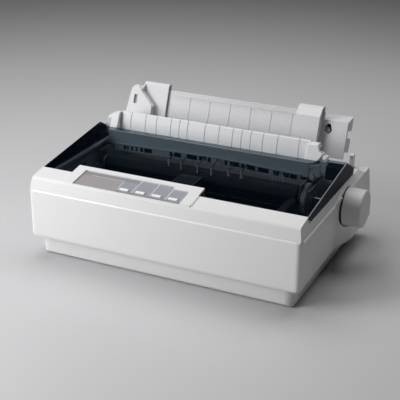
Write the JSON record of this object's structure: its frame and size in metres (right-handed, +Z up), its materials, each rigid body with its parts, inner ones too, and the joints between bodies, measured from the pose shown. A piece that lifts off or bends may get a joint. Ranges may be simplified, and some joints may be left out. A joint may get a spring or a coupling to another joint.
{
  "type": "dot matrix printer",
  "caption": "Office dot matrix printer with a hinged smoked cover, platen and print head, push tractors, a tilting sheet guide and a side paper knob.",
  "frame": {"origin": "on the supporting surface under the centre of the case, between the left and right walls and the front face and the rear wall", "axes": "+X to the right of someone facing the front, +Y to the rear, +Z up"},
  "size_m": [0.366, 0.2681, 0.1529],
  "materials": {
    "case_plastic": "fine grained moulding",
    "panel_film": "printed film, satin",
    "lamp_green": "clear lens",
    "foot_rubber": "matt",
    "zinc_screw": "zinc plated",
    "frame_steel": "zinc plated sheet",
    "shaft_steel": "ground and polished",
    "bush_plastic": "natural acetal",
    "dark_plastic": "moulded",
    "roller_rubber": "ground rubber",
    "motor_can": "black lacquer",
    "gear_plastic": "natural acetal",
    "pinion_brass": "turned",
    "guide_plastic": "fine grained moulding",
    "white_plastic": "smooth",
    "knob_plastic": "smooth",
    "belt_rubber": "matt",
    "carriage_plastic": "moulded",
    "head_aluminium": "cast, dark anodised",
    "ribbon_cloth": "inked nylon",
    "board_green": "solder mask",
    "board_tan": "phenolic board",
    "connector_metal": "plated shell",
    "lock_lever": "moulded",
    "lever_green": "moulded",
    "smoked_plastic": "clear smoked moulding"
  },
  "bodies": {
    "case": {"lower_case": "case_plastic", "upper_case": "case_plastic", "panel_plate": "panel_film", "status_lamps": "lamp_green", "rubber_feet": "foot_rubber", "case_screws": "zinc_screw", "chassis_plate": "frame_steel", "left_side_frame": "frame_steel", "right_side_frame": "frame_steel", "gear_bracket": "frame_steel", "carriage_shaft": "shaft_steel", "front_guide_rail": "frame_steel", "platen_bushes": "bush_plastic", "paper_guide": "dark_plastic", "carriage_motor": "motor_can", "feed_motor": "motor_can", "tractor_rod": "shaft_steel", "tension_unit": "guide_plastic", "timing_belt": "belt_rubber", "ribbon_cartridge": "carriage_plastic", "ribbon": "ribbon_cloth", "main_board": "board_green", "power_supply": "board_tan", "parallel_connector": "connector_metal", "serial_connector": "connector_metal", "ac_inlet": "carriage_plastic"},
    "platen_set": {"platen": "roller_rubber", "platen_shaft": "shaft_steel", "platen_knob": "knob_plastic", "platen_gear": "gear_plastic"},
    "pinion": {"motor_pinion": "pinion_brass"},
    "idler": {"idler_gear": "gear_plastic"},
    "tractor_drive": {"tractor_shaft": "shaft_steel", "tractor_gear": "gear_plastic"},
    "tension_roller": {"tension_roller": "white_plastic"},
    "pinch_rollers": {"pinch_rollers": "roller_rubber"},
    "carriage_set": {"carriage": "carriage_plastic", "print_head": "head_aluminium"},
    "drive_pulley": {"drive_pulley": "pinion_brass"},
    "idler_pulley": {"idler_pulley": "gear_plastic"},
    "ribbon_knob": {"ribbon_knob": "carriage_plastic"},
    "left_tractor": {"left_tractor": "dark_plastic"},
    "right_tractor": {"right_tractor": "dark_plastic"},
    "left_wheel": {"left_pin_wheel": "dark_plastic"},
    "right_wheel": {"right_pin_wheel": "dark_plastic"},
    "left_flap": {"left_tractor_cover": "dark_plastic"},
    "right_flap": {"right_tractor_cover": "dark_plastic"},
    "left_lock": {"left_tractor_lock": "lock_lever"},
    "right_lock": {"right_tractor_lock": "lock_lever"},
    "sheet_guide": {"sheet_guide": "guide_plastic"},
    "left_edge_guide": {"left_edge_guide": "guide_plastic"},
    "right_edge_guide": {"right_edge_guide": "guide_plastic"},
    "cover": {"printer_cover": "smoked_plastic"},
    "release_lever": {"release_lever": "guide_plastic"},
    "thickness_lever": {"thickness_lever": "lever_green"},
    "power_switch": {"power_switch": "carriage_plastic"},
    "pitch_button": {"pitch_button": "white_plastic"},
    "tear_off_button": {"tear_off_button": "white_plastic"},
    "feed_button": {"feed_button": "white_plastic"},
    "pause_button": {"pause_button": "white_plastic"}
  },
  "joints": [
    {"name": "cover_hinge", "type": "hinge", "parent": "case", "child": "cover", "pos_m": [0, 0.06925, 0.0994], "axis": [-1, 0, 0], "range_deg": [0, 75]},
    {"name": "sheet_guide_tilt", "type": "hinge", "parent": "case", "child": "sheet_guide", "pos_m": [0, 0.10825, 0.08], "axis": [-1, 0, 0], "range_deg": [0, 50]},
    {"name": "left_edge_guide_slide", "type": "slide", "parent": "sheet_guide", "child": "left_edge_guide", "axis": [1, 0, 0], "range_m": [0, 0.06]},
    {"name": "right_edge_guide_slide", "type": "slide", "parent": "sheet_guide", "child": "right_edge_guide", "axis": [-1, 0, 0], "range_m": [0, 0.06]},
    {"name": "platen_turn", "type": "hinge", "parent": "case", "child": "platen_set", "pos_m": [0, 0.02825, 0.0716], "axis": [1, 0, 0], "continuous": true},
    {"name": "idler_turn", "type": "hinge", "parent": "case", "child": "idler", "pos_m": [0, 0.06525, 0.0716], "axis": [1, 0, 0], "continuous": true},
    {"name": "tractor_shaft_turn", "type": "hinge", "parent": "case", "child": "tractor_drive", "pos_m": [0, 0.09825, 0.0716], "axis": [1, 0, 0], "continuous": true},
    {"name": "tension_roller_turn", "type": "hinge", "parent": "case", "child": "tension_roller", "pos_m": [0, 0.05023, 0.09699], "axis": [1, 0, 0], "continuous": true},
    {"name": "pinion_turn", "type": "hinge", "parent": "case", "child": "pinion", "pos_m": [0, 0.04125, 0.04908], "axis": [1, 0, 0], "continuous": true},
    {"name": "pinch_rollers_turn", "type": "hinge", "parent": "case", "child": "pinch_rollers", "pos_m": [0, 0.02825, 0.05148], "axis": [1, 0, 0], "continuous": true},
    {"name": "carriage_slide", "type": "slide", "parent": "case", "child": "carriage_set", "axis": [1, 0, 0], "range_m": [-0.1016, 0.1016]},
    {"name": "drive_pulley_turn", "type": "hinge", "parent": "case", "child": "drive_pulley", "pos_m": [-0.131, -0.04175, 0.047], "axis": [0, 0, 1], "range_deg": [-900, 900]},
    {"name": "idler_pulley_turn", "type": "hinge", "parent": "case", "child": "idler_pulley", "pos_m": [0.101, -0.04175, 0.047], "axis": [0, 0, 1], "range_deg": [-900, 900]},
    {"name": "ribbon_knob_turn", "type": "hinge", "parent": "case", "child": "ribbon_knob", "pos_m": [0.055, -0.05925, 0.08], "axis": [0, 0, 1], "continuous": true},
    {"name": "left_tractor_slide", "type": "slide", "parent": "case", "child": "left_tractor", "axis": [1, 0, 0], "range_m": [0, 0.055]},
    {"name": "right_tractor_slide", "type": "slide", "parent": "case", "child": "right_tractor", "axis": [-1, 0, 0], "range_m": [0, 0.055]},
    {"name": "left_pin_wheel_turn", "type": "hinge", "parent": "left_tractor", "child": "left_wheel", "pos_m": [-0.13, 0.09825, 0.0716], "axis": [1, 0, 0], "continuous": true},
    {"name": "right_pin_wheel_turn", "type": "hinge", "parent": "right_tractor", "child": "right_wheel", "pos_m": [0.1, 0.09825, 0.0716], "axis": [1, 0, 0], "continuous": true},
    {"name": "left_tractor_cover_hinge", "type": "hinge", "parent": "left_tractor", "child": "left_flap", "pos_m": [-0.1373, 0.09825, 0.08451], "axis": [0, -1, 0], "range_deg": [0, 95]},
    {"name": "right_tractor_cover_hinge", "type": "hinge", "parent": "right_tractor", "child": "right_flap", "pos_m": [0.1073, 0.09825, 0.08451], "axis": [0, 1, 0], "range_deg": [0, 95]},
    {"name": "left_tractor_lock_tilt", "type": "hinge", "parent": "left_tractor", "child": "left_lock", "pos_m": [-0.1417, 0.09825, 0.0716], "axis": [1, 0, 0], "range_deg": [0, 35]},
    {"name": "right_tractor_lock_tilt", "type": "hinge", "parent": "right_tractor", "child": "right_lock", "pos_m": [0.1117, 0.09825, 0.0716], "axis": [1, 0, 0], "range_deg": [0, 35]},
    {"name": "release_lever_tilt", "type": "hinge", "parent": "case", "child": "release_lever", "pos_m": [0.154, 0.10375, 0.062], "axis": [1, 0, 0], "range_deg": [0, 20]},
    {"name": "thickness_lever_tilt", "type": "hinge", "parent": "case", "child": "thickness_lever", "pos_m": [-0.1541, -0.01375, 0.052], "axis": [1, 0, 0], "range_deg": [-12, 12]},
    {"name": "power_switch_rock", "type": "hinge", "parent": "case", "child": "power_switch", "pos_m": [-0.162, 0.03275, 0.056], "axis": [0, 0, -1], "range_deg": [0, 16]},
    {"name": "pitch_button_press", "type": "slide", "parent": "case", "child": "pitch_button", "axis": [0, 0, -1], "range_m": [0, 0.0008], "stiffness_N_per_m": 150, "springref_m": -0.0005},
    {"name": "tear_off_button_press", "type": "slide", "parent": "case", "child": "tear_off_button", "axis": [0, 0, -1], "range_m": [0, 0.0008], "stiffness_N_per_m": 150, "springref_m": -0.0005},
    {"name": "feed_button_press", "type": "slide", "parent": "case", "child": "feed_button", "axis": [0, 0, -1], "range_m": [0, 0.0008], "stiffness_N_per_m": 150, "springref_m": -0.0005},
    {"name": "pause_button_press", "type": "slide", "parent": "case", "child": "pause_button", "axis": [0, 0, -1], "range_m": [0, 0.0008], "stiffness_N_per_m": 150, "springref_m": -0.0005}
  ],
  "couplings": [
    {"joint": "idler_turn", "follows": "platen_turn", "ratio": -0.94737},
    {"joint": "tractor_shaft_turn", "follows": "platen_turn", "ratio": 1.2857},
    {"joint": "tension_roller_turn", "follows": "platen_turn", "ratio": 1.7143},
    {"joint": "pinion_turn", "follows": "platen_turn", "ratio": -2.25},
    {"joint": "pinch_rollers_turn", "follows": "platen_turn", "ratio": -2.3333},
    {"joint": "left_pin_wheel_turn", "follows": "platen_turn", "ratio": 1.2857},
    {"joint": "right_pin_wheel_turn", "follows": "platen_turn", "ratio": 1.2857},
    {"joint": "drive_pulley_turn", "follows": "carriage_slide", "rad_per_m": -150},
    {"joint": "idler_pulley_turn", "follows": "carriage_slide", "rad_per_m": -150}
  ]
}
